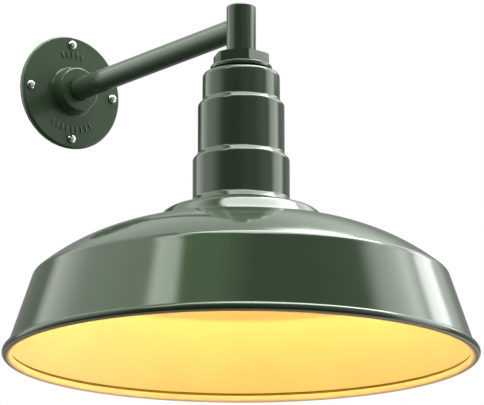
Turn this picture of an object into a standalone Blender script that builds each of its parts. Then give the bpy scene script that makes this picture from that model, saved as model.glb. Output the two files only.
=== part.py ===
"""Outdoor wall lantern: a round wall plate, a straight arm, a stepped neck and a wide dome shade.

Blender 4.5, metres, +Z up. The wall is the plane Y = 0 and the lantern stands out along -Y.
The arm's axis is the line X = 0, Z = 0. The lamp's axis is vertical, ARM_REACH in front of the wall.
Turned pieces are drawn as (radius, height) outlines in millimetres and spun.
"""
import math

import bmesh
import bpy
from mathutils import Matrix, Vector

MM = 0.001

# Driving dimensions, in millimetres.
RIM_DIAMETER = 406.4        # 16 inch shade, over its bead
ARM_REACH = 274.0           # wall to lamp axis
ARM_ABOVE_RIM = 287.1       # arm axis above the middle of the bead
ARM_DIAMETER = 20.4
STEM_DIAMETER = 25.4        # 1 inch tube
PLATE_DIAMETER = 106.0
SCREW_CIRCLE = 88.9         # 3.5 inch, as on a 4 inch round box
THREAD_PITCH = 3.629        # E26 lamp thread, 7 turns to the inch
GAP = 0.3                   # between pieces that touch

# Derived places. Heights below are above the middle of the bead unless they say otherwise.
RIM_RADIUS = RIM_DIAMETER / 2
ARM_RADIUS = ARM_DIAMETER / 2
STEM_RADIUS = STEM_DIAMETER / 2
LAMP_ORIGIN = Vector((0, -ARM_REACH, -ARM_ABOVE_RIM)) * MM
SCREW_COUNT = 4

# Wall plate, as distances out from the wall.
GASKET_DEPTH = 1.5
PLATE_BACK = GASKET_DEPTH + GAP
PLATE_FRONT = 7.3
BOSS_FRONT = 20.8
CAVITY_DEPTH = 15.5
CAVITY_RADIUS = 17.3

# Neck stack.
NECK_TOP = 246.3
NECK_BASE = 127.3
NECK_WALL = 2.5
TIER_RADII = (33.5, 37.3, 41.7)
STEM_TOP = 306.3
STEM_END = 228.0

# Shade.
SHEET = 1.3
BEAD_RADIUS = 3.9
BEAD_HEIGHT = -1.3
SHADE_TOP = 127.0
SHADE_HOLE = 30.5
SHADE_SCREW_CIRCLE = 36.0
SHADE_SCREWS = 3

# Lamp and lampholder.
MOUTH = 126.0
BULB_BOTTOM = 42.0
BULB_RADIUS = 30.0
THREAD_LOW = 128.5
THREAD_HIGH = 146.5
THREAD_MINOR = 12.45
THREAD_MAJOR = 13.2
THREAD_CLEARANCE = 0.4


def clear_scene():
    for item in list(bpy.data.objects):
        bpy.data.objects.remove(item, do_unlink=True)


def material(name, colour, roughness, metallic=0.0, emission=0.0):
    """A Principled material with one colour."""
    made = bpy.data.materials.new(name)
    made.use_nodes = True
    shader = made.node_tree.nodes["Principled BSDF"]
    shader.inputs["Base Color"].default_value = (*colour, 1.0)
    shader.inputs["Roughness"].default_value = roughness
    shader.inputs["Metallic"].default_value = metallic
    if emission:
        shader.inputs["Emission Color"].default_value = (1.0, 0.72, 0.36, 1.0)
        shader.inputs["Emission Strength"].default_value = emission
    made.diffuse_color = (*colour, 1.0)
    return made


# ---- outlines ---------------------------------------------------------------------------------

def rounded(corners, steps=2):
    """Corner points (radius, height, rounding) to an outline with an arc at each rounded corner."""
    outline = []
    for index, (radius, height, rounding) in enumerate(corners):
        corner = Vector((radius, height))
        if not rounding:
            outline.append(corner)
            continue
        back = (Vector(corners[index - 1][:2]) - corner).normalized()
        ahead = (Vector(corners[(index + 1) % len(corners)][:2]) - corner).normalized()
        half = back.angle(ahead) / 2
        centre = corner + (back + ahead).normalized() * rounding / math.sin(half)
        first = corner + back * rounding / math.tan(half) - centre
        last = corner + ahead * rounding / math.tan(half) - centre
        turn = math.atan2(first.x * last.y - first.y * last.x, first.dot(last))
        for step in range(steps + 1):
            outline.append(centre + Matrix.Rotation(turn * step / steps, 2) @ first)
    return outline


def bowed(start, end, bow, steps):
    """Points after start, up to end, on an arc that stands bow to the left of the straight line."""
    start = Vector(start)
    end = Vector(end)
    chord = end - start
    side = Vector((-chord.y, chord.x)).normalized()
    radius = chord.length_squared / (8 * abs(bow)) + abs(bow) / 2
    sign = 1 if bow > 0 else -1
    centre = (start + end) / 2 + side * (bow - sign * radius)
    turn = 2 * math.asin(chord.length / 2 / radius) * -sign
    spoke = start - centre
    return [centre + Matrix.Rotation(turn * (k + 1) / steps, 2) @ spoke for k in range(steps)]


def circle_points(centre, radius, start_deg, end_deg, steps):
    points = []
    for step in range(steps + 1):
        angle = math.radians(start_deg + (end_deg - start_deg) * step / steps)
        points.append(Vector((centre[0] + radius * math.cos(angle), centre[1] + radius * math.sin(angle))))
    return points


def inward(points, distance):
    """The same line of points, moved to its right by distance."""
    moved = []
    for index, point in enumerate(points):
        before = points[max(index - 1, 0)]
        after = points[min(index + 1, len(points) - 1)]
        along = (after - before).normalized()
        moved.append(point + Vector((along.y, -along.x)) * distance)
    return moved


# ---- solids -----------------------------------------------------------------------------------

def add_object(name, mesh_data, look, location=(0, 0, 0), smooth_deg=35):
    """A mesh object with one material, smooth where faces meet at less than smooth_deg."""
    mesh = bpy.data.meshes.new(name)
    bmesh.ops.recalc_face_normals(mesh_data, faces=mesh_data.faces)
    mesh_data.to_mesh(mesh)
    mesh_data.free()
    mesh.polygons.foreach_set("use_smooth", [True] * len(mesh.polygons))
    mesh.set_sharp_from_angle(angle=math.radians(smooth_deg))
    made = bpy.data.objects.new(name, mesh)
    made.location = location
    bpy.context.scene.collection.objects.link(made)
    if look:
        mesh.materials.append(look)
    return made


def spun_mesh(outline, segments, closed=True):
    """An outline of (radius, height) in millimetres, spun round Z, in metres.

    A closed outline is a ring's section. An open one starts and ends on the axis.
    """
    shape = bmesh.new()
    verts = [shape.verts.new((point[0] * MM, 0, point[1] * MM)) for point in outline]
    edges = [shape.edges.new(pair) for pair in zip(verts, verts[1:])]
    if closed:
        edges.append(shape.edges.new((verts[-1], verts[0])))
    bmesh.ops.spin(shape, geom=verts + edges, axis=(0, 0, 1), cent=(0, 0, 0),
                   steps=segments, angle=2 * math.pi, use_merge=True)
    bmesh.ops.remove_doubles(shape, verts=shape.verts, dist=1e-7)
    return shape


def turned(name, outline, look, segments=48, closed=True, location=LAMP_ORIGIN):
    return add_object(name, spun_mesh(outline, segments, closed), look, location)


def facing_room(made):
    """Turn a piece so that its own +Z points out of the wall, along -Y."""
    made.data.transform(Matrix.Rotation(math.radians(90), 4, "X"))
    return made


def rod_cutter(name, radius, low, high, places, segments=24):
    """One hidden cutter made of upright rods, at (x, y) places in millimetres."""
    shape = bmesh.new()
    for x, y in places:
        rod = Matrix.Translation(Vector((x, y, (low + high) / 2)) * MM)
        bmesh.ops.create_cone(shape, cap_ends=True, segments=segments, radius1=radius * MM,
                              radius2=radius * MM, depth=(high - low) * MM, matrix=rod)
    return hide_cutter(add_object(name, shape, None, LAMP_ORIGIN))


def hide_cutter(cutter):
    cutter.hide_render = True
    cutter.display_type = "WIRE"
    return cutter


def combine(target, other, operation="DIFFERENCE"):
    step = target.modifiers.new(other.name, "BOOLEAN")
    step.operation = operation
    step.object = other
    step.solver = "EXACT"


def ring_places(count, radius, start_deg=0.0):
    angles = [math.radians(start_deg + 360 * k / count) for k in range(count)]
    return [(radius * math.cos(angle), radius * math.sin(angle)) for angle in angles]


def slab(shape, centre, size, rotation=None):
    """Add a box to a bmesh: centre and size in millimetres."""
    place = Matrix.Translation(Vector(centre) * MM)
    scale = Matrix.Diagonal(Vector(size) * MM).to_4x4()
    bmesh.ops.create_cube(shape, size=1.0, matrix=place @ (rotation or Matrix.Identity(4)) @ scale)


def hex_prism(name, corner_radius, low, high, bore, look, turn_deg, chamfer=1.0):
    """A chamfered hexagon nut with a plain bore."""
    shape = bmesh.new()
    turn = Matrix.Rotation(math.radians(turn_deg), 4, "Z")
    place = Matrix.Translation((0, 0, (low + high) / 2 * MM)) @ turn
    bmesh.ops.create_cone(shape, cap_ends=True, segments=6, radius1=corner_radius * MM,
                          radius2=corner_radius * MM, depth=(high - low) * MM, matrix=place)
    nut = add_object(name, shape, look, LAMP_ORIGIN, smooth_deg=20)
    flat = corner_radius - 2 * chamfer
    dressed = [(bore, low), (flat, low), (corner_radius + 0.3, low + chamfer),
               (corner_radius + 0.3, high - chamfer), (flat, high), (bore, high)]
    body = turned(name + "_blank", dressed, None, segments=36)
    combine(nut, hide_cutter(body), "INTERSECT")
    return nut


# ---- wall plate -------------------------------------------------------------------------------

def build_wall_gasket(look):
    outline = rounded([(22, 0, 0), (51.5, 0, 0), (51.5, GASKET_DEPTH, 0.4), (22, GASKET_DEPTH, 0)], 2)
    gasket = facing_room(turned("wall_gasket", outline, look, 40, location=(0, 0, 0)))
    combine(gasket, plate_holes("gasket_hole_cutter", 2.9, -1, 4))


def plate_holes(name, radius, low, high):
    cutter = rod_cutter(name, radius, low, high, ring_places(SCREW_COUNT, SCREW_CIRCLE / 2), 16)
    cutter.location = (0, 0, 0)
    return facing_room(cutter)


def build_wall_plate(look):
    """A cast disc with a rounded edge, a hollow cone boss for the arm, and short raised ribs."""
    edge = PLATE_DIAMETER / 2
    outline = rounded([
        (CAVITY_RADIUS, PLATE_BACK, 0), (edge - 0.6, PLATE_BACK, 0), (edge, PLATE_FRONT, 1.8),
        (22.4, PLATE_FRONT, 2.0), (20.0, BOSS_FRONT, 1.6), (ARM_RADIUS + 0.3, BOSS_FRONT, 0),
        (ARM_RADIUS + 0.3, CAVITY_DEPTH, 0), (CAVITY_RADIUS, CAVITY_DEPTH, 1.2)])
    plate = facing_room(turned("wall_plate", outline, look, 48, location=(0, 0, 0)))
    combine(plate, plate_ribs(), "UNION")
    combine(plate, plate_holes("plate_hole_cutter", 2.5, -1, 12))


def plate_ribs():
    """Plain radial ribs in an upper and a lower arc: trim with no meaning."""
    shape = bmesh.new()
    arcs = ((90, 5, 8.5), (270, 9, 8.5))
    for middle, count, spacing in arcs:
        for k in range(count):
            angle = math.radians(middle + (k - (count - 1) / 2) * spacing)
            centre = (35.5 * math.cos(angle), 35.5 * math.sin(angle), PLATE_FRONT + 0.05)
            slab(shape, centre, (6.0, 1.8, 1.3), Matrix.Rotation(angle, 4, "Z"))
    return facing_room(hide_cutter(add_object("plate_rib_set", shape, None)))


def build_plate_screws(look):
    """Round-head screws with a cross slot. Their shanks end at the wall."""
    head_base = PLATE_FRONT + GAP
    for number, (x, z) in enumerate(ring_places(SCREW_COUNT, SCREW_CIRCLE / 2, 90), start=1):
        dome = bowed((4.2, head_base + 0.8), (0, head_base + 3.1), -0.75, 5)
        outline = [(0, 0.2), (2.1, 0.2), (2.1, head_base), (4.2, head_base), (4.2, head_base + 0.8)] + dome
        place = Vector((x, 0, z)) * MM
        screw = facing_room(turned("plate_screw_%d" % number, outline, look, 16, False, place))
        for way, size in (("across", (5.2, 0.9, 2.4)), ("upright", (0.9, 5.2, 2.4))):
            slot = bmesh.new()
            slab(slot, (0, 0, head_base + 3.0), size)
            cutter = add_object("screw_slot_%s_%d" % (way, number), slot, None, place)
            combine(screw, hide_cutter(facing_room(cutter)))


def build_terminal_block(look):
    """A round ceramic terminal insert inside the boss, where the supply is joined."""
    outline = rounded([(0, 3, 0), (CAVITY_RADIUS - GAP, 3, 0), (CAVITY_RADIUS - GAP, 12, 1.0), (0, 12, 0)])
    block = facing_room(turned("terminal_block", outline, look, 32, closed=False, location=(0, 0, 0)))
    wells = rod_cutter("terminal_well_cutter", 2.2, -1, 8, ring_places(3, 10.5, 90), 12)
    wells.location = (0, 0, 0)
    combine(block, facing_room(wells))


# ---- arm and stem -----------------------------------------------------------------------------

def build_arm(look):
    """A straight tube, its far end saddle-cut to the stem."""
    bore = ARM_RADIUS - 2.0
    start = CAVITY_DEPTH + 0.2
    outline = [(bore, start), (ARM_RADIUS, start), (ARM_RADIUS, ARM_REACH - 4), (bore, ARM_REACH - 4)]
    arm = facing_room(turned("arm_tube", outline, look, 40, location=(0, 0, 0)))
    combine(arm, rod_cutter("saddle_cutter", STEM_RADIUS + GAP, 260, 310, [(0, 0)], 48))


def build_stem(look):
    """A tube closed at its top, with a side opening where the arm meets it."""
    bore = STEM_RADIUS - 2.8
    outline = rounded([
        (0, STEM_TOP - 4, 0), (bore, STEM_TOP - 4, 0), (bore, STEM_END, 0), (STEM_RADIUS, STEM_END, 0.6),
        (STEM_RADIUS, STEM_TOP, 2.2), (0, STEM_TOP, 0)])
    stem = turned("hub_stem", outline, look, 36, closed=False)
    shape = bmesh.new()
    side = Matrix.Translation((0, 10 * MM, ARM_ABOVE_RIM * MM)) @ Matrix.Rotation(math.radians(90), 4, "X")
    bmesh.ops.create_cone(shape, cap_ends=True, segments=24, radius1=7.8 * MM, radius2=7.8 * MM,
                          depth=20 * MM, matrix=side)
    combine(stem, hide_cutter(add_object("stem_side_cutter", shape, None, LAMP_ORIGIN)))


# ---- neck -------------------------------------------------------------------------------------

def build_neck(look):
    """Three cylinder tiers with sloped steps and a flared foot, hollow, with an inner flange."""
    top, middle, low = TIER_RADII
    bore = STEM_RADIUS + GAP
    outline = rounded([
        (bore, NECK_TOP, 0), (top - 0.2, NECK_TOP, 4.8), (top, 220.9, 2.8), (middle, 217.0, 3.8),
        (middle + 0.1, 173.4, 2.8), (low, 168.8, 4.0), (low, NECK_BASE + 5.6, 2.8),
        (low + 5.0, NECK_BASE + 0.6, 0), (low + 5.0, NECK_BASE, 0),
        (SHADE_HOLE, NECK_BASE, 0), (SHADE_HOLE, NECK_BASE + 3, 0),
        (low - NECK_WALL, NECK_BASE + 3, 0), (low - NECK_WALL, 166.0, 0), (middle - NECK_WALL, 166.0, 0),
        (middle - NECK_WALL, 214.0, 0), (top - NECK_WALL, 214.0, 0), (top - NECK_WALL, NECK_TOP - 2.6, 0),
        (bore, NECK_TOP - 2.6, 0)])
    neck = turned("neck_housing", outline, look, 44)
    holes = ring_places(SHADE_SCREWS, SHADE_SCREW_CIRCLE, 90)
    combine(neck, rod_cutter("neck_hole_cutter", 1.7, NECK_BASE - 1, NECK_BASE + 5, holes, 12))


def build_neck_hardware(green, steel, rubber):
    """From the top down: nut, washer and gasket outside, then washer and locknut inside."""
    bore = STEM_RADIUS + GAP
    hex_prism("hex_nut", 25.0, 252.7, 262.3, bore, green, 39)
    washer = rounded([(bore, 248.6, 0), (26.6, 248.6, 0.5), (26.6, 252.4, 1.4), (bore, 252.4, 0)])
    turned("nut_washer", washer, green, 36)
    gasket = [(bore, 246.6), (25.0, 246.6), (25.0, 248.3), (bore, 248.3)]
    turned("neck_gasket", gasket, rubber, 32)
    spring_ring = [(bore, 239.9), (19.0, 239.9), (19.0, 241.5), (bore, 241.5)]
    turned("lock_washer", spring_ring, steel, 32)
    hex_prism("inner_locknut", 20.5, 233.6, 239.6, bore, steel, 0, 0.7)


# ---- shade ------------------------------------------------------------------------------------

def shade_outline():
    """The spun sheet's section: collar, crease, dome, shoulder, skirt and rolled bead."""
    outside = [Vector((SHADE_HOLE, SHADE_TOP)), Vector((43.0, SHADE_TOP))]
    outside += bowed(outside[-1], (61.5, 123.6), 0.4, 2)
    outside += bowed(outside[-1], (68.2, 119.6), 0.5, 3)
    outside += [Vector((75.0, 110.6)), Vector((77.0, 109.2))]
    outside += bowed(outside[-1], (175.0, 67.4), 7.5, 9)
    outside += [Vector((176.9, 65.9)), Vector((178.3, 63.6))]
    outside += [Vector((179.2, 60.6)), Vector((198.62, 2.95))]
    rolled = circle_points((RIM_RADIUS - BEAD_RADIUS, BEAD_HEIGHT), BEAD_RADIUS, 99, -225, 10)
    return outside + rolled + inward(outside, SHEET)[::-1]


def build_shade(look):
    shade = turned("shade", shade_outline(), look, 48)
    holes = ring_places(SHADE_SCREWS, SHADE_SCREW_CIRCLE, 90)
    combine(shade, rod_cutter("shade_hole_cutter", 1.9, SHADE_TOP - 5, SHADE_TOP + 5, holes, 12))


def build_shade_screws(look):
    """Pan-head screws, driven up through the shade into the neck's inner flange."""
    seat = SHADE_TOP - SHEET - GAP
    for number, (x, y) in enumerate(ring_places(SHADE_SCREWS, SHADE_SCREW_CIRCLE, 90), start=1):
        head = bowed((0, seat - 2.2), (3.3, seat - 0.9), -0.35, 3)
        outline = [(0, seat - 2.2)] + head + [(3.3, seat), (1.45, seat), (1.45, seat + 7.5), (0, seat + 7.5)]
        screw = turned("shade_screw_%d" % number, outline, look, 16, closed=False)
        screw.location = LAMP_ORIGIN + Vector((x, y, 0)) * MM


# ---- lampholder and bulb ----------------------------------------------------------------------

def thread_radius(angle, height, low, high, fade_to):
    """A right-hand thread's radius, which fades to a plain radius at both ends."""
    depth = THREAD_MAJOR - THREAD_MINOR
    wave = 0.5 + 0.5 * math.cos(angle - 2 * math.pi * height / THREAD_PITCH)
    plain = THREAD_MINOR if fade_to == "minor" else THREAD_MAJOR
    fade = min(1.0, max(0.0, min(height - low, high - height) / (THREAD_PITCH / 2)))
    return plain + (THREAD_MINOR + depth * wave - plain) * fade


def threaded_sleeve(name, low, high, plain, fade_to, extra, look):
    """A tube with a thread on one side and a plain wall on the other.

    The tube is spun with dense rows, then the threaded side's vertices are moved to the thread.
    """
    start = THREAD_MINOR if fade_to == "minor" else THREAD_MAJOR
    rows = int((high - low) / THREAD_PITCH * 6)
    heights = [low + (high - low) * k / rows for k in range(rows + 1)]
    section = [(start + extra, height) for height in heights] + [(plain, high), (plain, low)]
    shape = spun_mesh(section, 20)
    for vert in shape.verts:
        radius = vert.co.xy.length / MM
        if abs(radius - start - extra) < 0.01:
            angle = math.atan2(vert.co.y, vert.co.x)
            wanted = thread_radius(angle, vert.co.z / MM, THREAD_LOW, THREAD_HIGH, fade_to) + extra
            vert.co.xy *= wanted / radius
    return add_object(name, shape, look, LAMP_ORIGIN, smooth_deg=50)


def build_socket(porcelain, steel, brass):
    body = rounded([
        (3.2, 172.0, 0), (3.2, 163.0, 0), (0, 163.0, 0), (0, 154.0, 0), (16.2, 154.0, 0),
        (16.2, MOUTH + 1.2, 0), (16.6, MOUTH, 0.4), (20.6, MOUTH, 1.4), (21.6, 150.0, 0),
        (22.4, 152.0, 0.6), (22.4, 172.0, 1.2)])
    holder = turned("socket_body", body, porcelain, 28)
    combine(holder, rod_cutter("socket_screw_cutter", 1.7, 166, 174, [(-17, 0), (17, 0)], 12))
    threaded_sleeve("socket_shell", MOUTH + 2.2, 149.5, 15.9, "major", THREAD_CLEARANCE, brass)
    contact = rounded([(0, 152.9, 0), (5.4, 152.9, 0.3), (5.4, 153.7, 0), (0, 153.7, 0)], 2)
    turned("socket_contact", contact, brass, 20, closed=False)
    build_bracket(steel)
    for number, x in enumerate((-17, 17), start=1):
        top = 174.0 + GAP
        dome = bowed((3.2, top + 0.9), (0, top + 2.2), -0.35, 3)
        outline = [(0, 167), (1.4, 167), (1.4, top), (3.2, top), (3.2, top + 0.9)] + dome
        screw = turned("socket_screw_%d" % number, outline, steel, 16, closed=False)
        screw.location = LAMP_ORIGIN + Vector((x, 0, 0)) * MM


def build_bracket(look):
    """A bent steel strap from under the neck's top down to the porcelain."""
    outside = [(-12, 172.4), (-25.5, 172.4), (-25.5, 243.3), (25.5, 243.3), (25.5, 172.4), (12, 172.4)]
    inside = [(12, 174.0), (23.9, 174.0), (23.9, 241.7), (-23.9, 241.7), (-23.9, 174.0), (-12, 174.0)]
    width = 30.0
    shape = bmesh.new()
    ring = [shape.verts.new(Vector((x, -width / 2, z)) * MM) for x, z in outside + inside]
    grown = bmesh.ops.extrude_face_region(shape, geom=[shape.faces.new(ring)])
    side = [item for item in grown["geom"] if isinstance(item, bmesh.types.BMVert)]
    bmesh.ops.translate(shape, verts=side, vec=(0, width * MM, 0))
    strap = add_object("socket_bracket", shape, look, LAMP_ORIGIN)
    combine(strap, rod_cutter("bracket_stem_cutter", STEM_RADIUS + GAP, 238, 248, [(0, 0)], 32))
    combine(strap, rod_cutter("bracket_screw_cutter", 1.7, 170, 178, [(-17, 0), (17, 0)], 12))


def build_bulb(glass, black, brass):
    """An A-shape bulb: a glass envelope, a threaded cap, an insulator and a tip contact."""
    middle = BULB_BOTTOM + BULB_RADIUS
    outside = circle_points((0, middle), BULB_RADIUS, -90, 26, 8)
    outside += bowed(outside[-1], (14.0, 117.0), -4.0, 4)
    outside += [Vector((13.6, MOUTH - 4)), Vector((11.4, MOUTH - 1)), Vector((11.0, 140.0))]
    inside = [Vector((0, BULB_BOTTOM + 0.9))] + inward(outside[1:], -0.9)[:-3]
    inside += [Vector((10.4, MOUTH - 4)), Vector((9.8, 140.0))]
    turned("bulb_glass", outside + inside[::-1], glass, 20, closed=False)
    threaded_sleeve("bulb_shell", MOUTH, 147.5, 11.6, "minor", 0, brass)
    insulator = [(0, 147.8), (11.8, 147.8), (11.8, 148.4), (6.2, 150.6), (0, 150.6)]
    turned("bulb_insulator", insulator, black, 20, closed=False)
    tip = [(0, 150.9), (4.4, 150.9)] + bowed((4.4, 150.9), (0, 152.4), -0.45, 3)
    turned("bulb_contact", tip, brass, 16, closed=False)


# ---- internal lead ----------------------------------------------------------------------------

def build_lead(look):
    """One sleeved lead from the terminal insert, through the arm and stem, to the lampholder."""
    bend = 12.0
    start = -(12.0 + GAP)
    corner = -(ARM_REACH - bend)
    count = 22
    route = [(start + (corner - start) * k / count, 0.0) for k in range(count + 1)]
    for k in range(1, 6):
        angle = math.radians(90 * k / 6)
        route.append((corner - bend * math.sin(angle), -bend + bend * math.cos(angle)))
    drop_end = 163.0 + GAP - ARM_ABOVE_RIM
    steps = 9
    route += [(-ARM_REACH, -bend + (drop_end + bend) * k / steps) for k in range(steps + 1)]
    curve = bpy.data.curves.new("lead_sleeve", "CURVE")
    curve.dimensions = "3D"
    curve.bevel_depth = 2.0 * MM
    curve.bevel_resolution = 2
    curve.use_fill_caps = True
    curve.materials.append(look)
    line = curve.splines.new("POLY")
    line.points.add(len(route) - 1)
    for point, (y, z) in zip(line.points, route):
        point.co = (0, y * MM, z * MM, 1)
    bpy.context.scene.collection.objects.link(bpy.data.objects.new("lead_sleeve", curve))


def main():
    clear_scene()
    green = material("green_enamel", (0.028, 0.062, 0.040), 0.16)
    shade_green = material("shade_enamel", (0.028, 0.062, 0.040), 0.16)
    stainless = material("stainless", (0.78, 0.79, 0.80), 0.22, 1.0)
    steel = material("zinc_steel", (0.62, 0.63, 0.64), 0.35, 1.0)
    brass = material("brass", (0.80, 0.60, 0.30), 0.30, 1.0)
    rubber = material("black_rubber", (0.02, 0.02, 0.02), 0.75)
    porcelain = material("porcelain", (0.86, 0.85, 0.80), 0.25)
    glass = material("warm_glass", (1.0, 0.93, 0.80), 0.20, emission=4.0)
    black = material("black_glass", (0.02, 0.02, 0.025), 0.15)
    sleeve = material("lead_sleeving", (0.80, 0.76, 0.66), 0.80)
    build_wall_gasket(rubber)
    build_wall_plate(green)
    build_plate_screws(stainless)
    build_terminal_block(porcelain)
    build_arm(green)
    build_stem(green)
    build_neck(green)
    build_neck_hardware(green, steel, rubber)
    build_shade(shade_green)
    build_shade_screws(steel)
    build_socket(porcelain, steel, brass)
    build_bulb(glass, black, brass)
    build_lead(sleeve)


main()
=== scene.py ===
"""Outdoor wall lantern, finished: turned enamel pieces, lamp and studio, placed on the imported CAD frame.

The wall is the plane Y = 0 and the lantern stands out along -Y. Turned pieces are drawn as
(radius, height) outlines in millimetres: round the lamp's axis above the middle of the shade's
bead, or round the arm's axis as distances out from the wall.
"""
import math

import bmesh
import bpy
from mathutils import Matrix, Vector


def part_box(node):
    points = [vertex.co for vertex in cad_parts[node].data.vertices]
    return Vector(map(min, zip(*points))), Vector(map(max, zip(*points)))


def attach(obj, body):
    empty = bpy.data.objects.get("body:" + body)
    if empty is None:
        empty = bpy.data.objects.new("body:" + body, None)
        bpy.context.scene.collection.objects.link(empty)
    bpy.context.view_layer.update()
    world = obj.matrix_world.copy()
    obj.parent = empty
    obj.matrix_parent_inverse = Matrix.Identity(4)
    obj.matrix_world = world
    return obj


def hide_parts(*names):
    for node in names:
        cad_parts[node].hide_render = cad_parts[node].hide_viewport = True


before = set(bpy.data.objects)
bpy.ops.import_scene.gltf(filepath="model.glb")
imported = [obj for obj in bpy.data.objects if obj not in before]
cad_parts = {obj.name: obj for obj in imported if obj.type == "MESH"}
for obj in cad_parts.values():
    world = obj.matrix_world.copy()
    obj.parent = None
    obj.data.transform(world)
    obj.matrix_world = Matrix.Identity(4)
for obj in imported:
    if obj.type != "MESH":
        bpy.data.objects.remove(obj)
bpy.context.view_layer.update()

BODY = "fixture"
MM = 0.001

# Sizes that repeat part.py's, in millimetres.
GAP = 0.3
PLATE_FRONT = 7.3
CAVITY_DEPTH = 15.5
CAVITY_RADIUS = 17.3
SCREW_CIRCLE = 88.9
SHEET = 1.3
BEAD_RADIUS = 3.9
BEAD_HEIGHT = -1.3
SHADE_TOP = 127.0
SHADE_HOLE = 30.5
SHADE_SCREW_RING = (3, 36.0, 90)  # count, radius, first angle in degrees
TIER_RADII = (33.5, 37.3, 41.7)
UPPER_STEP = (220.9, 217.0)
LOWER_STEP = (173.4, 168.8)
INNER_STEPS = (214.0, 166.0)
NECK_WALL = 2.5
WASHER_RADIUS = 26.6
GASKET_RADIUS = 25.0
BULB_BOTTOM = 42.0
BULB_RADIUS = 30.0
MOUTH = 126.0

# Boxes of CAD nodes, and the lamp's axis at the height of the bead's middle: metres.
STEM_LOW, STEM_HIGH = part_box("hub_stem")
SHADE_LOW, SHADE_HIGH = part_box("shade")
NECK_LOW, NECK_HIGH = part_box("neck_housing")
PLATE_LOW, PLATE_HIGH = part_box("wall_plate")
ARM_LOW, ARM_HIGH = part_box("arm_tube")
LAMP_AXIS = (STEM_LOW + STEM_HIGH) / 2
RIM_Z = SHADE_LOW.z + (BEAD_RADIUS - BEAD_HEIGHT) * MM
LAMP_ORIGIN = Vector((LAMP_AXIS.x, LAMP_AXIS.y, RIM_Z))

# Sizes read from those boxes, in millimetres. Heights are above RIM_Z.
RIM_RADIUS = (SHADE_HIGH.x - SHADE_LOW.x) / 2 / MM
STEM_RADIUS = (STEM_HIGH.x - STEM_LOW.x) / 2 / MM
ARM_RADIUS = (ARM_HIGH.x - ARM_LOW.x) / 2 / MM
ARM_REACH = -LAMP_AXIS.y / MM
ARM_ABOVE_RIM = -RIM_Z / MM
STEM_TOP = (STEM_HIGH.z - RIM_Z) / MM
STEM_END = (STEM_LOW.z - RIM_Z) / MM
NECK_TOP = (NECK_HIGH.z - RIM_Z) / MM
NECK_BASE = (NECK_LOW.z - RIM_Z) / MM
PLATE_RADIUS = (PLATE_HIGH.z - PLATE_LOW.z) / 2 / MM
PLATE_BACK = -PLATE_HIGH.y / MM
BOSS_FRONT = -PLATE_LOW.y / MM

# Sizes of the finer pieces, in millimetres and degrees.
PLATE_HOLE = 2.5
SCREW_HEAD = 4.2
RIB_CIRCLE = 35.5
RIB_STEP_DEG = 8.5
NUT_CORNER = 25.0
NUT_TURN_DEG = 39
BEAD_SPLIT_DEG = -42
BULB_GLASS = 0.9
BULB_NECK_TOP = 140.0

# Camera, measured from the lamp's axis: metres and degrees, and the lens in millimetres.
CAMERA_AZIMUTH = -35.6
CAMERA_PITCH = 13.4
CAMERA_DISTANCE = 3.433
CAMERA_ASIDE = 0.0007
CAMERA_BELOW_RIM = 0.6863
CAMERA_LENS = 306.5


# ---- outlines ---------------------------------------------------------------------------------

def rounded(corners, steps=8):
    """Corner points (radius, height, rounding) to an outline with an arc at each rounded corner."""
    outline = []
    for index, (radius, height, rounding) in enumerate(corners):
        corner = Vector((radius, height))
        if not rounding:
            outline.append(corner)
            continue
        back = (Vector(corners[index - 1][:2]) - corner).normalized()
        ahead = (Vector(corners[(index + 1) % len(corners)][:2]) - corner).normalized()
        half = back.angle(ahead) / 2
        centre = corner + (back + ahead).normalized() * rounding / math.sin(half)
        first = corner + back * rounding / math.tan(half) - centre
        last = corner + ahead * rounding / math.tan(half) - centre
        turn = math.atan2(first.x * last.y - first.y * last.x, first.dot(last))
        for step in range(steps + 1):
            outline.append(centre + Matrix.Rotation(turn * step / steps, 2) @ first)
    return outline


def bowed(start, end, bow, steps):
    """Points after start, up to end, on an arc that bulges bow to the left of the straight line."""
    start = Vector(start)
    end = Vector(end)
    chord = end - start
    side = Vector((-chord.y, chord.x)).normalized()
    radius = chord.length_squared / (8 * abs(bow)) + abs(bow) / 2
    sign = 1 if bow > 0 else -1
    centre = (start + end) / 2 + side * (bow - sign * radius)
    turn = 2 * math.asin(chord.length / 2 / radius) * -sign
    spoke = start - centre
    return [centre + Matrix.Rotation(turn * (k + 1) / steps, 2) @ spoke for k in range(steps)]


def circle_points(centre, radius, start_deg, end_deg, steps):
    """Points on an arc, both ends included."""
    points = []
    for step in range(steps + 1):
        angle = math.radians(start_deg + (end_deg - start_deg) * step / steps)
        points.append(Vector((centre[0] + radius * math.cos(angle), centre[1] + radius * math.sin(angle))))
    return points


def inward(points, distance):
    """The same line of points, moved to its right by distance, or to its left if that is negative."""
    moved = []
    for index, point in enumerate(points):
        before = points[max(index - 1, 0)]
        after = points[min(index + 1, len(points) - 1)]
        along = (after - before).normalized()
        moved.append(point + Vector((along.y, -along.x)) * distance)
    return moved


def eased(points):
    """Cut the corners of an open line of points twice, so that a spun piece has soft bends."""
    for _ in range(2):
        softer = [points[0]]
        for first, second in zip(points, points[1:]):
            softer.append(first.lerp(second, 0.25))
            softer.append(first.lerp(second, 0.75))
        softer.append(points[-1])
        points = softer
    return points


def heights(node):
    """Where a CAD node begins and ends on the lamp's axis: millimetres above the bead's middle."""
    low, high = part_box(node)
    return (low.z - RIM_Z) / MM, (high.z - RIM_Z) / MM


# ---- pieces -----------------------------------------------------------------------------------

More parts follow.
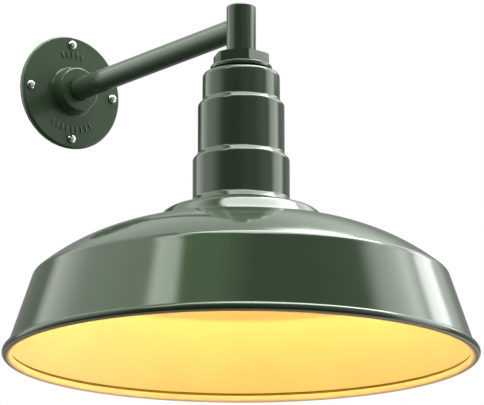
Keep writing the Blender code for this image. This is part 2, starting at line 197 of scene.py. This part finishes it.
def add_piece(name, shape, look, replaces, body=BODY, location=(0, 0, 0), smooth_deg=32):
    """A finished mesh piece, smooth shaded: it rides on a CAD body and replaces CAD nodes."""
    mesh = bpy.data.meshes.new(name)
    bmesh.ops.recalc_face_normals(shape, faces=shape.faces)
    shape.to_mesh(mesh)
    shape.free()
    mesh.polygons.foreach_set("use_smooth", [True] * len(mesh.polygons))
    mesh.set_sharp_from_angle(angle=math.radians(smooth_deg))
    mesh.materials.append(look)
    piece = bpy.data.objects.new(name, mesh)
    piece.location = location
    bpy.context.scene.collection.objects.link(piece)
    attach(piece, body)
    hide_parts(*replaces)
    return piece


def spun_mesh(outline, segments, closed=True):
    """An outline of (radius, height) in millimetres, spun round Z, in metres."""
    shape = bmesh.new()
    verts = [shape.verts.new((point[0] * MM, 0, point[1] * MM)) for point in outline]
    edges = [shape.edges.new(pair) for pair in zip(verts, verts[1:])]
    if closed:
        edges.append(shape.edges.new((verts[-1], verts[0])))
    bmesh.ops.spin(shape, geom=verts + edges, axis=(0, 0, 1), cent=(0, 0, 0),
                   steps=segments, angle=2 * math.pi, use_merge=True)
    bmesh.ops.remove_doubles(shape, verts=shape.verts, dist=1e-7)
    return shape


def face_room(shape):
    """Turn a mesh so that its own +Z points out of the wall, along -Y."""
    bmesh.ops.transform(shape, matrix=Matrix.Rotation(math.radians(90), 4, "X"), verts=shape.verts)
    return shape


def add_slab(shape, centre, size, turn, bevel):
    """Add a soft-edged box, turned about Z: centre and size in millimetres."""
    place = Matrix.Translation(Vector(centre) * MM) @ Matrix.Rotation(turn, 4, "Z")
    scale = Matrix.Diagonal(Vector(size) * MM).to_4x4()
    made = bmesh.ops.create_cube(shape, size=1.0, matrix=place @ scale)
    edges = list({edge for vert in made["verts"] for edge in vert.link_edges})
    bmesh.ops.bevel(shape, geom=edges, offset=bevel * MM, segments=3, affect="EDGES", profile=0.5)


def cut(piece, shape, name, operation="DIFFERENCE"):
    """Cut a mesh out of a piece, or keep only what lies inside the mesh. No cutter is kept."""
    mesh = bpy.data.meshes.new(name)
    bmesh.ops.recalc_face_normals(shape, faces=shape.faces)
    shape.to_mesh(mesh)
    shape.free()
    cutter = bpy.data.objects.new(name, mesh)
    bpy.context.scene.collection.objects.link(cutter)
    step = piece.modifiers.new(name, "BOOLEAN")
    step.operation = operation
    step.object = cutter
    step.solver = "EXACT"
    bpy.context.view_layer.update()
    finished = piece.evaluated_get(bpy.context.evaluated_depsgraph_get())
    result = bpy.data.meshes.new_from_object(finished)
    piece.modifiers.remove(step)
    piece.data = result
    bpy.data.objects.remove(cutter, do_unlink=True)
    bpy.data.meshes.remove(mesh)


def rods(radius, low, high, places, segments=32):
    """Upright rods in one mesh, at (x, y) places: millimetres."""
    shape = bmesh.new()
    for x, y in places:
        place = Matrix.Translation(Vector((x, y, (low + high) / 2)) * MM)
        bmesh.ops.create_cone(shape, cap_ends=True, segments=segments, radius1=radius * MM,
                              radius2=radius * MM, depth=(high - low) * MM, matrix=place)
    return shape


def ring_places(count, radius, start_deg=0.0):
    """Evenly spaced (x, y) places on a circle."""
    angles = [math.radians(start_deg + 360 * k / count) for k in range(count)]
    return [(radius * math.cos(angle), radius * math.sin(angle)) for angle in angles]


# ---- materials --------------------------------------------------------------------------------

class Look:
    """One node material, with short ways to add what most of the finishes need."""

    def __init__(self, name, **sockets):
        self.material = bpy.data.materials.new(name)
        self.material.use_nodes = True
        self.tree = self.material.node_tree
        self.shader = self.tree.nodes["Principled BSDF"]
        for socket, value in sockets.items():
            self.shader.inputs[socket.replace("_", " ")].default_value = value
        self.place = self.tree.nodes.new("ShaderNodeTexCoord").outputs["Object"]

    def noise(self, scale, detail=3.0):
        """A noise value, over object coordinates in metres."""
        node = self.tree.nodes.new("ShaderNodeTexNoise")
        node.inputs["Scale"].default_value = scale
        node.inputs["Detail"].default_value = detail
        self.tree.links.new(self.place, node.inputs["Vector"])
        return node.outputs["Fac"]

    def ramp(self, value, low, high, at=(0.3, 0.7)):
        """Colour from a value: low below the first stop, high above the second."""
        node = self.tree.nodes.new("ShaderNodeValToRGB")
        node.color_ramp.elements[0].position = at[0]
        node.color_ramp.elements[1].position = at[1]
        node.color_ramp.elements[0].color = (*low, 1.0)
        node.color_ramp.elements[1].color = (*high, 1.0)
        self.tree.links.new(value, node.inputs["Fac"])
        return node.outputs["Color"]

    def span(self, value, low, high):
        """Stretch the middle half of a noise value to low..high."""
        node = self.tree.nodes.new("ShaderNodeMapRange")
        node.inputs["From Min"].default_value = 0.25
        node.inputs["From Max"].default_value = 0.75
        node.inputs["To Min"].default_value = low
        node.inputs["To Max"].default_value = high
        self.tree.links.new(value, node.inputs["Value"])
        return node.outputs["Result"]

    def fade(self, value, start, end):
        """0 at start and 1 at end."""
        node = self.tree.nodes.new("ShaderNodeMapRange")
        node.inputs["From Min"].default_value = start
        node.inputs["From Max"].default_value = end
        self.tree.links.new(value, node.inputs["Value"])
        return node.outputs["Result"]

    def off_axis(self):
        """Distance from the object's own Z axis, in metres."""
        level = self.tree.nodes.new("ShaderNodeVectorMath")
        level.operation = "MULTIPLY"
        level.inputs[1].default_value = (1, 1, 0)
        self.tree.links.new(self.place, level.inputs[0])
        length = self.tree.nodes.new("ShaderNodeVectorMath")
        length.operation = "LENGTH"
        self.tree.links.new(level.outputs["Vector"], length.inputs[0])
        return length.outputs["Value"]

    def bump(self, value, height_mm, before=None):
        """Relief from a value, on top of an earlier bump where one is given."""
        node = self.tree.nodes.new("ShaderNodeBump")
        node.inputs["Strength"].default_value = 1.0
        node.inputs["Distance"].default_value = height_mm * MM
        self.tree.links.new(value, node.inputs["Height"])
        if before:
            self.tree.links.new(before, node.inputs["Normal"])
        self.tree.links.new(node.outputs["Normal"], self.shader.inputs["Normal"])
        return node.outputs["Normal"]

    def feed(self, socket, value):
        """Link a value into one of the shader's sockets."""
        self.tree.links.new(value, self.shader.inputs[socket])


def enamel(name, deep, pale, roughness, tint):
    """Enamel: soft colour drift, faint orange peel, small changes in gloss."""
    look = Look(name, IOR=1.52, Specular_Tint=(*tint, 1.0))
    look.feed("Base Color", look.ramp(look.noise(14.0, 4.0), deep, pale))
    look.feed("Roughness", look.span(look.noise(60.0, 5.0), roughness * 0.8, roughness * 1.25))
    peel = look.bump(look.noise(420.0, 2.0), 0.004)
    look.bump(look.noise(45.0, 1.0), 0.012, peel)
    return look.material


def lining_enamel():
    """Cream enamel, nearly matt. Under the rolled lip it gives off a faint warm light: a painted glow,
    since the lip is no lamp.
    """
    look = Look("cream_enamel", IOR=1.52, Specular_IOR_Level=0.08, Emission_Strength=0.45)
    look.feed("Base Color", look.ramp(look.noise(14.0, 4.0), (0.64, 0.56, 0.41), (0.68, 0.60, 0.44)))
    look.feed("Roughness", look.span(look.noise(60.0, 5.0), 0.4, 0.62))
    # Painted glow: a warm emission on the underside of the rolled lip, where lamplight falls, though the
    # lip is no lamp.
    apart = look.tree.nodes.new("ShaderNodeSeparateXYZ")
    look.tree.links.new(look.place, apart.inputs["Vector"])
    under = look.fade(apart.outputs["Z"], -0.5 * MM, -3.5 * MM)
    inner = look.fade(look.off_axis(), (RIM_RADIUS - 2.4) * MM, (RIM_RADIUS - 5.6) * MM)
    painted_glow_mask = look.tree.nodes.new("ShaderNodeMath")
    painted_glow_mask.operation = "MULTIPLY"
    look.tree.links.new(under, painted_glow_mask.inputs[0])
    look.tree.links.new(inner, painted_glow_mask.inputs[1])
    painted_glow_colour = look.ramp(painted_glow_mask.outputs["Value"], (0, 0, 0), (1.0, 0.56, 0.18), at=(0.2, 1.0))
    look.feed("Emission Color", painted_glow_colour)
    peel = look.bump(look.noise(420.0, 2.0), 0.004)
    look.bump(look.noise(45.0, 1.0), 0.012, peel)
    return look.material


def metal(name, dark, light, roughness):
    """Plated or polished metal: slight tarnish, uneven gloss and a fine grain."""
    look = Look(name, Metallic=1.0)
    look.feed("Base Color", look.ramp(look.noise(160.0, 5.0), dark, light))
    look.feed("Roughness", look.span(look.noise(500.0, 4.0), roughness * 0.6, roughness * 1.5))
    look.bump(look.noise(1500.0, 2.0), 0.004)
    return look.material


def dull(name, dark, light, roughness, bump_mm, scale=400.0):
    """Rubber, porcelain, black glass, sleeve, or the groove's painted shadow: mottled colour and a fine
    surface.
    """
    look = Look(name)
    look.feed("Base Color", look.ramp(look.noise(scale / 6, 4.0), dark, light))
    look.feed("Roughness", look.span(look.noise(scale / 2, 3.0), roughness * 0.85, roughness * 1.15))
    look.bump(look.noise(scale * 3, 2.0), bump_mm)
    return look.material


def lit_glass():
    """Frosted glass, lit from inside: an even warm light with a slight drift of colour."""
    look = Look("warm_glass", Roughness=0.3, Emission_Strength=46.5)
    look.feed("Base Color", look.ramp(look.noise(90.0, 2.0), (0.95, 0.80, 0.55), (1.0, 0.88, 0.64)))
    look.feed("Emission Color", look.ramp(look.noise(30.0, 2.0), (1.0, 0.62, 0.18), (1.0, 0.66, 0.21)))
    look.bump(look.noise(1800.0, 2.0), 0.003)
    return look.material


def make_looks():
    """The materials, by short name."""
    green_tint = (0.90, 1.0, 0.88)
    return {
        "green": enamel("green_enamel", (0.040, 0.061, 0.036), (0.046, 0.070, 0.042), 0.10, green_tint),
        # The same green enamel made a little rougher and lighter for the plate and arm: the lighter colour
        # is painted light, making up for light these parts miss in this studio.
        "green_painted_lighter": enamel("green_painted_lighter", (0.052, 0.088, 0.048), (0.062, 0.104, 0.056), 0.15, green_tint),
        "cream": lining_enamel(),
        # Painted shadow: the dark brown of the groove behind the shade's roll.
        "groove_shadow": dull("groove_shadow_brown", (0.095, 0.074, 0.011), (0.125, 0.098, 0.015), 0.85, 0.02),
        "stainless": metal("stainless", (0.70, 0.71, 0.72), (0.86, 0.86, 0.87), 0.13),
        "steel": metal("zinc_steel", (0.46, 0.47, 0.49), (0.66, 0.67, 0.68), 0.32),
        "brass": metal("brass", (0.62, 0.44, 0.19), (0.83, 0.64, 0.32), 0.24),
        "rubber": dull("black_rubber", (0.012, 0.012, 0.012), (0.024, 0.024, 0.023), 0.72, 0.03),
        "porcelain": dull("porcelain", (0.80, 0.79, 0.74), (0.88, 0.87, 0.82), 0.20, 0.004, 120.0),
        "black": dull("black_glass", (0.012, 0.012, 0.016), (0.022, 0.022, 0.028), 0.12, 0.003),
        "sleeve": dull("lead_sleeving", (0.62, 0.57, 0.46), (0.80, 0.76, 0.66), 0.80, 0.08, 700.0),
        "glass": lit_glass(),
    }


# ---- wall plate, arm and stem -----------------------------------------------------------------

def make_wall_plate(looks):
    """The cast plate: rolled edge, cone boss, screw holes, and plain ribs in two arcs."""
    outline = rounded([
        (CAVITY_RADIUS, PLATE_BACK, 0.3), (PLATE_RADIUS - 0.6, PLATE_BACK, 0.5),
        (PLATE_RADIUS, PLATE_FRONT - 2.6, 1.5), (PLATE_RADIUS - 1.0, PLATE_FRONT, 1.2),
        (22.4, PLATE_FRONT, 1.8), (20.0, BOSS_FRONT, 1.6), (ARM_RADIUS + GAP, BOSS_FRONT, 0.4),
        (ARM_RADIUS + GAP, CAVITY_DEPTH, 0), (CAVITY_RADIUS, CAVITY_DEPTH, 1.2)])
    plate = add_piece("wall_plate_cast", face_room(spun_mesh(outline, 144)), looks["green_painted_lighter"],
                      ["wall_plate"])
    holes = rods(PLATE_HOLE, -1, 12, ring_places(4, SCREW_CIRCLE / 2))
    cut(plate, face_room(holes), "plate_holes")
    ribs = bmesh.new()
    for middle, count in ((90, 5), (270, 9)):
        for k in range(count):
            angle = math.radians(middle + (k - (count - 1) / 2) * RIB_STEP_DEG)
            centre = (RIB_CIRCLE * math.cos(angle), RIB_CIRCLE * math.sin(angle), PLATE_FRONT)
            add_slab(ribs, centre, (6.0, 1.8, 1.4), angle, 0.55)
    add_piece("wall_plate_ribs", face_room(ribs), looks["green_painted_lighter"], ["wall_plate"])


def make_plate_screws(looks):
    """Bright round heads with a cross recess, one on each hole."""
    base = PLATE_FRONT + GAP
    for number, (x, z) in enumerate(ring_places(4, SCREW_CIRCLE / 2, 90), start=1):
        outline = [(0, 0.2), (2.1, 0.2), (2.1, base), (SCREW_HEAD - 0.3, base),
                   (SCREW_HEAD, base + 0.35), (SCREW_HEAD, base + 0.8)]
        outline += bowed(outline[-1], (0, base + 3.1), -0.75, 12)
        place = Vector((x, 0, z)) * MM
        screw = add_piece("plate_screw_head_%d" % number, face_room(spun_mesh(outline, 48, False)),
                          looks["stainless"], ["plate_screw_%d" % number], location=place)
        for size in ((4.6, 0.95, 2.6), (0.95, 4.6, 2.6)):
            slot = bmesh.new()
            add_slab(slot, (0, 0, base + 3.0), size, math.radians(18 * number), 0.2)
            face_room(slot)
            bmesh.ops.translate(slot, verts=slot.verts, vec=place)
            cut(screw, slot, "screw_slot")


def make_arm(looks):
    """The straight arm, its end cut to fit round the stem."""
    start = CAVITY_DEPTH + 0.2
    end = ARM_REACH - 4
    outline = [(ARM_RADIUS - 2, start), (ARM_RADIUS, start), (ARM_RADIUS, end), (ARM_RADIUS - 2, end)]
    arm = add_piece("arm_tube_fine", face_room(spun_mesh(outline, 96)), looks["green_painted_lighter"],
                    ["arm_tube"])
    saddle = rods(STEM_RADIUS + 0.05, STEM_END, STEM_TOP, [(0, 0)], 128)
    bmesh.ops.translate(saddle, verts=saddle.verts, vec=LAMP_ORIGIN)
    cut(arm, saddle, "saddle")


def make_stem(looks):
    """The stem: a tube closed at its top, with an opening on the arm's axis for the lead."""
    bore = STEM_RADIUS - 2.8
    outline = rounded([
        (0, STEM_TOP - 4, 0), (bore, STEM_TOP - 4, 0), (bore, STEM_END, 0), (STEM_RADIUS, STEM_END, 0.6),
        (STEM_RADIUS, STEM_TOP, 2.0), (0, STEM_TOP, 0)])
    stem = add_piece("hub_stem_fine", spun_mesh(outline, 96, False), looks["green"],
                     ["hub_stem"], location=LAMP_ORIGIN)
    opening = rods(7.8, 0, 20, [(0, 0)])
    turned = Matrix.Translation(LAMP_ORIGIN + Vector((0, 0, ARM_ABOVE_RIM * MM)))
    bmesh.ops.transform(opening, matrix=turned @ Matrix.Rotation(math.radians(-90), 4, "X"),
                        verts=opening.verts)
    cut(stem, opening, "stem_opening")


# ---- neck -------------------------------------------------------------------------------------

def make_neck(looks):
    """Three tiers. Each has a hollow fillet at its foot and a soft edge at its shoulder."""
    top, middle, low = TIER_RADII
    bore = STEM_RADIUS + GAP
    outline = rounded([
        (bore, NECK_TOP, 0), (top - 0.2, NECK_TOP, 4.8),
        (top, UPPER_STEP[0], 2.8), (middle, UPPER_STEP[1], 3.8),
        (middle + 0.1, LOWER_STEP[0], 2.8), (low, LOWER_STEP[1], 4.0), (low, NECK_BASE + 5.6, 2.8),
        (low + 5.0, NECK_BASE + 0.6, 0.5), (low + 5.0, NECK_BASE, 0),
        (SHADE_HOLE, NECK_BASE, 0), (SHADE_HOLE, NECK_BASE + 3, 0),
        (low - NECK_WALL, NECK_BASE + 3, 1),
        (low - NECK_WALL, INNER_STEPS[1], 1), (middle - NECK_WALL, INNER_STEPS[1], 0),
        (middle - NECK_WALL, INNER_STEPS[0], 1), (top - NECK_WALL, INNER_STEPS[0], 0),
        (top - NECK_WALL, NECK_TOP - 2.6, 1), (bore, NECK_TOP - 2.6, 0)], 10)
    neck = add_piece("neck_housing_fine", spun_mesh(outline, 144), looks["green"],
                     ["neck_housing"], location=LAMP_ORIGIN)
    holes = rods(1.7, NECK_BASE - 1, NECK_BASE + 5, ring_places(*SHADE_SCREW_RING), 24)
    bmesh.ops.translate(holes, verts=holes.verts, vec=LAMP_ORIGIN)
    cut(neck, holes, "neck_holes")


def make_nut(looks):
    """The hexagon nut: soft corners, chamfered top and bottom."""
    bottom, top = heights("hex_nut")
    middle = Matrix.Translation((0, 0, (bottom + top) / 2 * MM))
    turn = Matrix.Rotation(math.radians(NUT_TURN_DEG), 4, "Z")
    shape = bmesh.new()
    bmesh.ops.create_cone(shape, cap_ends=True, segments=6, radius1=NUT_CORNER * MM,
                          radius2=NUT_CORNER * MM, depth=(top - bottom) * MM, matrix=middle @ turn)
    sides = [edge for edge in shape.edges if abs(edge.verts[0].co.z - edge.verts[1].co.z) > 1e-4]
    bmesh.ops.bevel(shape, geom=sides, offset=0.5 * MM, segments=3, affect="EDGES", profile=0.5)
    nut = add_piece("hex_nut_fine", shape, looks["green"], ["hex_nut"],
                    location=LAMP_ORIGIN, smooth_deg=30)
    bore = STEM_RADIUS + GAP
    blank = rounded([
        (bore, bottom, 0), (NUT_CORNER - 2, bottom, 0.4), (NUT_CORNER + 0.3, bottom + 1.0, 0.4),
        (NUT_CORNER + 0.3, top - 1.0, 0.4), (NUT_CORNER - 2, top, 0.4), (bore, top, 0.3)], 4)
    turned = spun_mesh(blank, 96)
    bmesh.ops.translate(turned, verts=turned.verts, vec=LAMP_ORIGIN)
    cut(nut, turned, "nut_blank", "INTERSECT")


def make_washers(looks):
    """The round washer under the nut, and the neck gasket under the washer."""
    bore = STEM_RADIUS + GAP
    bottom, top = heights("nut_washer")
    washer = rounded([(bore, bottom, 0), (WASHER_RADIUS, bottom, 0.7), (WASHER_RADIUS, top, 1.5),
                      (bore, top, 0)])
    add_piece("nut_washer_fine", spun_mesh(washer, 96), looks["green"], ["nut_washer"],
              location=LAMP_ORIGIN)
    bottom, top = heights("neck_gasket")
    gasket = rounded([(bore, bottom, 0), (GASKET_RADIUS, bottom, 0.5), (GASKET_RADIUS, top, 0.5),
                      (bore, top, 0)])
    add_piece("neck_gasket_fine", spun_mesh(gasket, 96), looks["rubber"], ["neck_gasket"],
              location=LAMP_ORIGIN)


# ---- shade ------------------------------------------------------------------------------------

def shade_outside():
    """The shade's outer line, from the top hole down to the bead."""
    collar = [Vector((SHADE_HOLE, SHADE_TOP)), Vector((43.0, SHADE_TOP))]
    collar += bowed(collar[-1], (61.5, 123.6), 0.4, 6)
    collar += bowed(collar[-1], (68.2, 119.6), 0.5, 5)
    collar += [Vector((75.0, 110.6)), Vector((77.0, 109.2))]
    dome = bowed((77.0, 109.2), (175.0, 67.4), 7.5, 30)
    shoulder = [Vector((176.9, 65.9)), Vector((178.3, 63.6)), Vector((179.2, 60.6))]
    skirt = [Vector((179.2, 60.6)).lerp(Vector((198.62, 2.95)), k / 8) for k in range(1, 9)]
    return eased(collar + dome + shoulder + skirt)


def make_shade(looks):
    """The spun sheet in two skins, green outside and cream inside, with a dark brown ring behind its roll:
    painted shadow in the groove.

    The skins share one parting line: down the middle of the sheet and on to the bead's centre.
    """
    outside = shade_outside()
    inside = inward(outside, SHEET)
    bead = (RIM_RADIUS - BEAD_RADIUS, BEAD_HEIGHT)
    parting = inward(outside, SHEET / 2)[:-2] + [Vector(bead)]
    green_edge = circle_points(bead, BEAD_RADIUS, 99, BEAD_SPLIT_DEG, 28)
    pale_edge = circle_points(bead, BEAD_RADIUS, BEAD_SPLIT_DEG, -202, 28)
    groove = [Vector(point) for point in ((198.0, 0.4), (197.6, 2.8), (196.8, 2.8))]
    upper = [point for point in inside if point.y > 30]
    skin = outside + green_edge + parting[::-1]
    lining = parting + pale_edge + groove + upper[::-1]
    green = add_piece("shade_skin", spun_mesh(skin, 192), looks["green"], ["shade"],
                      location=LAMP_ORIGIN)
    pale = add_piece("shade_lining", spun_mesh(lining, 192), looks["cream"], ["shade"],
                      location=LAMP_ORIGIN)
    # A dark brown ring in the groove behind the roll: painted shadow where the bead meets the inside wall.
    groove_shadow = [(196.3, 0.45), (197.85, 0.45), (197.5, 2.7), (196.9, 2.7), (196.3, 1.5)]
    add_piece("shade_groove_shadow", spun_mesh([Vector(point) for point in groove_shadow], 192), looks["groove_shadow"],
              ["shade"], location=LAMP_ORIGIN)
    for piece in (green, pale):
        holes = rods(1.9, SHADE_TOP - 6, SHADE_TOP + 4, ring_places(*SHADE_SCREW_RING), 24)
        bmesh.ops.translate(holes, verts=holes.verts, vec=LAMP_ORIGIN)
        cut(piece, holes, "shade_holes")


# ---- lamp -------------------------------------------------------------------------------------

def make_bulb(looks):
    """The lamp's glass: a hollow globe and neck, its top inside the threaded cap."""
    middle = BULB_BOTTOM + BULB_RADIUS
    outside = circle_points((0, middle), BULB_RADIUS, -90, 26, 28)
    outside += bowed(outside[-1], (14.0, 117.0), -4.0, 14)
    outside += [Vector((13.6, MOUTH - 4)), Vector((11.4, MOUTH - 1)), Vector((11.0, BULB_NECK_TOP))]
    inside = [Vector((0, BULB_BOTTOM + BULB_GLASS))] + inward(outside[1:-3], -BULB_GLASS)
    inside += [Vector((10.4, MOUTH - 4)), Vector((9.8, BULB_NECK_TOP))]
    add_piece("bulb_envelope", spun_mesh(outside + inside[::-1], 96, False), looks["glass"],
              ["bulb_glass"], "bulb_turn", LAMP_ORIGIN)


def dress_cad_nodes(looks):
    """The pieces whose CAD shape is right keep it, and get finished materials."""
    kept = {
        "wall_gasket": "rubber", "terminal_block": "porcelain", "lock_washer": "steel",
        "inner_locknut": "steel", "socket_bracket": "steel", "socket_screw_1": "steel",
        "socket_screw_2": "steel", "shade_screw_1": "steel", "shade_screw_2": "steel",
        "shade_screw_3": "steel", "socket_body": "porcelain", "socket_shell": "brass",
        "socket_contact": "brass", "lead_sleeve": "sleeve", "bulb_shell": "brass",
        "bulb_insulator": "black", "bulb_contact": "brass"}
    for node, look in kept.items():
        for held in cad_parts[node].material_slots:
            held.material = looks[look]


# ---- studio -----------------------------------------------------------------------------------

def studio_direction(azimuth, elevation):
    """A unit vector: azimuth from the camera's side, positive to its right, in degrees."""
    turn = math.radians(CAMERA_AZIMUTH + azimuth)
    rise = math.radians(elevation)
    return Vector((math.sin(turn) * math.cos(rise), -math.cos(turn) * math.cos(rise), math.sin(rise)))


class Studio:
    """World shader: soft-edged panels of light at angles seen from the lantern.

    Azimuth runs from the camera's side, positive to its right. Azimuth and elevation in degrees.
    """

    def __init__(self, tree):
        self.tree = tree
        self.sky = tree.nodes.new("ShaderNodeTexCoord").outputs["Generated"]
        ahead = self.along(studio_direction(0, 0))
        aside = self.along(studio_direction(90, 0))
        up = self.along((0, 0, 1))
        self.azimuth = self.maths("MULTIPLY", self.maths("ARCTAN2", aside, ahead), 180 / math.pi)
        self.elevation = self.maths("MULTIPLY", self.maths("ARCSINE", up), 180 / math.pi)
        self.total = None
        height = self.maths("MAXIMUM", up, 0.05)
        self.plan_ahead = self.maths("DIVIDE", ahead, height)
        self.plan_aside = self.maths("DIVIDE", aside, height)

    def link(self, node, index, value):
        """Feed one of a node's inputs with a number or another node's output."""
        if isinstance(value, (int, float)):
            node.inputs[index].default_value = value
        else:
            self.tree.links.new(value, node.inputs[index])

    def maths(self, operation, first, second=0.0):
        """One maths node. Operations on a single value leave the second unused."""
        node = self.tree.nodes.new("ShaderNodeMath")
        node.operation = operation
        self.link(node, 0, first)
        self.link(node, 1, second)
        return node.outputs["Value"]

    def along(self, way):
        """How far the light's direction points along a way: the cosine of the angle between."""
        node = self.tree.nodes.new("ShaderNodeVectorMath")
        node.operation = "DOT_PRODUCT"
        node.inputs[1].default_value = way
        self.tree.links.new(self.sky, node.inputs[0])
        return node.outputs["Value"]

    def rise(self, value, start, end):
        """0 before start and 1 after end, with a smooth step between. Start may be the larger."""
        node = self.tree.nodes.new("ShaderNodeMapRange")
        node.interpolation_type = "SMOOTHSTEP"
        node.inputs["From Min"].default_value = start
        node.inputs["From Max"].default_value = end
        self.tree.links.new(value, node.inputs["Value"])
        return node.outputs["Result"]

    def band(self, value, begin, full, fade, end):
        """Grows from begin to full, then fades from fade to end."""
        return self.maths("MULTIPLY", self.rise(value, begin, full), self.rise(value, end, fade))

    def add(self, mask, radiance, colour=(1.0, 1.0, 1.0)):
        """Add light where a mask is set."""
        node = self.tree.nodes.new("ShaderNodeVectorMath")
        node.operation = "SCALE"
        node.inputs[0].default_value = [radiance * part for part in colour]
        self.link(node, "Scale", mask)
        light = node.outputs["Vector"]
        if self.total:
            both = self.tree.nodes.new("ShaderNodeVectorMath")
            both.operation = "ADD"
            self.tree.links.new(self.total, both.inputs[0])
            self.tree.links.new(light, both.inputs[1])
            light = both.outputs["Vector"]
        self.total = light

    def panel(self, azimuths, elevations, radiance, colour=(1.0, 1.0, 1.0)):
        """A soft box. Each way: where its edge begins, is full, fades and ends."""
        across = self.band(self.azimuth, *azimuths)
        upright = self.band(self.elevation, *elevations)
        self.add(self.maths("MULTIPLY", across, upright), radiance, colour)

    def overhead(self, turn_deg, widths, lengths, radiance):
        """A soft box on a flat ceiling, in ceiling heights: its length runs towards turn_deg."""
        sine = math.sin(math.radians(turn_deg))
        cosine = math.cos(math.radians(turn_deg))
        length = self.maths("ADD", self.maths("MULTIPLY", self.plan_aside, sine),
                            self.maths("MULTIPLY", self.plan_ahead, cosine))
        width = self.maths("ADD", self.maths("MULTIPLY", self.plan_aside, -cosine),
                           self.maths("MULTIPLY", self.plan_ahead, sine))
        mask = self.maths("MULTIPLY", self.band(width, *widths), self.band(length, *lengths))
        above = self.rise(self.elevation, 8, 20)
        self.add(self.maths("MULTIPLY", mask, above), radiance)


def light_studio(studio):
    """Soft boxes left, right and high in front, a long one overhead, and grey behind."""
    behind = studio.rise(studio.maths("ABSOLUTE", studio.azimuth), 105, 130)
    low_grey = studio.maths("MULTIPLY", behind, studio.band(studio.elevation, -35, -15, 80, 100))
    high_grey = studio.maths("MULTIPLY", behind, studio.rise(studio.elevation, 24, 44))
    studio.add(low_grey, 0.30)
    studio.add(high_grey, 0.70)
    # A little light from below.
    studio.add(studio.rise(studio.elevation, -8, -26), 0.08)
    # Left: two large boxes, one over the other, and a brighter strip along their far side.
    studio.panel((-139, -126, -82, -42), (-36, 22, 28, 38), 1.75)
    studio.panel((-139, -126, -58, -45), (28, 38, 57, 75), 1.75)
    studio.panel((-138, -124, -111, -97), (-14, 2, 28, 44), 0.55)
    # High in front and to the left: a small bright box and two green-tinted ones.
    studio.panel((-60, -52, -43, -36), (32, 40, 58, 66), 6.0)
    studio.panel((-58, -14, -28, 16), (31, 43, 56, 68), 1.25, (0.60, 1.0, 0.52))
    studio.panel((-115, -85, -40, -25), (31, 43, 56, 68), 0.45, (0.50, 1.0, 0.20))
    # Right: two faint boxes in front of the main one, and two more on its upper edge and far side.
    studio.panel((-15, 15, 45, 75), (-15, -5, 33, 43), 0.30)
    studio.panel((33, 67, 79, 113), (-18, 2, 26, 46), 0.60)
    studio.panel((75, 89, 108, 121), (-75, 25, 36, 52), 3.55)
    studio.panel((88, 98, 112, 128), (38, 43, 50, 58), 2.5)
    studio.panel((86, 106, 108, 128), (1, 15, 31, 45), 0.9)
    # Behind on the right, above the horizon: four that overlap.
    studio.panel((100, 115, 140, 165), (16, 25, 34, 44), 1.5)
    studio.panel((118, 124, 134, 141), (16, 23, 31, 38), 4.5)
    studio.panel((108, 128, 146, 166), (29, 43, 59, 73), 1.4)
    studio.panel((115, 145, 150, 180), (26, 46, 80, 100), 0.9)
    studio.overhead(143, (-0.25, -0.18, 0.40, 0.48), (-0.42, -0.32, 0.79, 0.89), 9.7)


def make_world():
    """Plain white to the camera, and the studio for light and reflections."""
    world = bpy.data.worlds.new("studio")
    world.use_nodes = True
    bpy.context.scene.world = world
    tree = world.node_tree
    tree.nodes.clear()
    studio = Studio(tree)
    light_studio(studio)
    room = tree.nodes.new("ShaderNodeBackground")
    tree.links.new(studio.total, room.inputs["Color"])
    plain = tree.nodes.new("ShaderNodeBackground")
    plain.inputs["Color"].default_value = (1, 1, 1, 1)
    seen = tree.nodes.new("ShaderNodeLightPath")
    mix = tree.nodes.new("ShaderNodeMixShader")
    tree.links.new(seen.outputs["Is Camera Ray"], mix.inputs["Fac"])
    tree.links.new(room.outputs["Background"], mix.inputs[1])
    tree.links.new(plain.outputs["Background"], mix.inputs[2])
    output = tree.nodes.new("ShaderNodeOutputWorld")
    tree.links.new(mix.outputs["Shader"], output.inputs["Surface"])


def make_floor():
    """A plain pale floor, far below the lantern, that neither lights it nor shows in the enamel."""
    shape = bmesh.new()
    bmesh.ops.create_grid(shape, x_segments=2, y_segments=2, size=9.0)
    mesh = bpy.data.meshes.new("floor")
    shape.to_mesh(mesh)
    shape.free()
    floor = bpy.data.objects.new("floor", mesh)
    floor.location = (0, 0, -4.5)
    look = Look("pale_floor", Roughness=0.9)
    look.feed("Base Color", look.ramp(look.noise(3.0), (0.80, 0.80, 0.79), (0.84, 0.84, 0.83)))
    mesh.materials.append(look.material)
    floor.visible_glossy = False
    floor.visible_diffuse = False
    bpy.context.scene.collection.objects.link(floor)


def make_camera():
    """The camera: in front of the lantern, to its left and below."""
    camera = bpy.data.cameras.new("camera")
    camera.sensor_width = 36.0
    camera.sensor_fit = "HORIZONTAL"
    camera.lens = CAMERA_LENS
    camera.clip_end = 50.0
    holder = bpy.data.objects.new("camera", camera)
    turn = math.radians(CAMERA_AZIMUTH)
    aside = Vector((math.cos(turn), math.sin(turn), 0))
    back = studio_direction(0, 0)
    holder.location = LAMP_ORIGIN + back * CAMERA_DISTANCE + aside * CAMERA_ASIDE
    holder.location.z = RIM_Z - CAMERA_BELOW_RIM
    holder.rotation_euler = (math.radians(90 + CAMERA_PITCH), 0, turn)
    bpy.context.scene.collection.objects.link(holder)
    bpy.context.scene.camera = holder


looks = make_looks()
make_wall_plate(looks)
make_plate_screws(looks)
make_arm(looks)
make_stem(looks)
make_neck(looks)
make_nut(looks)
make_washers(looks)
make_shade(looks)
make_bulb(looks)
dress_cad_nodes(looks)
make_world()
make_floor()
make_camera()
bpy.context.scene.view_settings.view_transform = "Standard"
